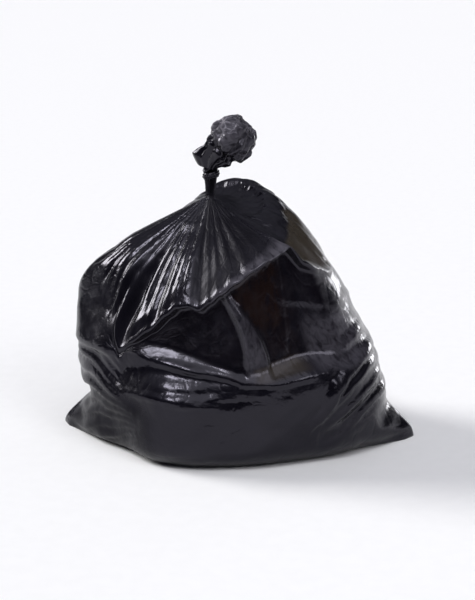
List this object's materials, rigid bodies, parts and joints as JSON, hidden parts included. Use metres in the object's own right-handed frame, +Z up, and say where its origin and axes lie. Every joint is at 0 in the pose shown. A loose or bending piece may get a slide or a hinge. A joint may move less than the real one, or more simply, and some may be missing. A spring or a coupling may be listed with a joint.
{
  "type": "filled and tied refuse sack",
  "caption": "Filled black refuse sack standing on its base, its film gathered to a knotted neck with a loose tuft above and a pointed corner at each side of the floor.",
  "frame": {"origin": "on the floor under the middle of the belly, at the base face", "axes": "+X to the right-hand bottom corner of the film, along the line of the two bottom corners, +Y to the back, +Z up"},
  "size_m": [0.6102, 0.4176, 0.548],
  "materials": {
    "film": "gloss, creased film"
  },
  "bodies": {
    "root": {"tied_sack": "film"}
  },
  "joints": []
}
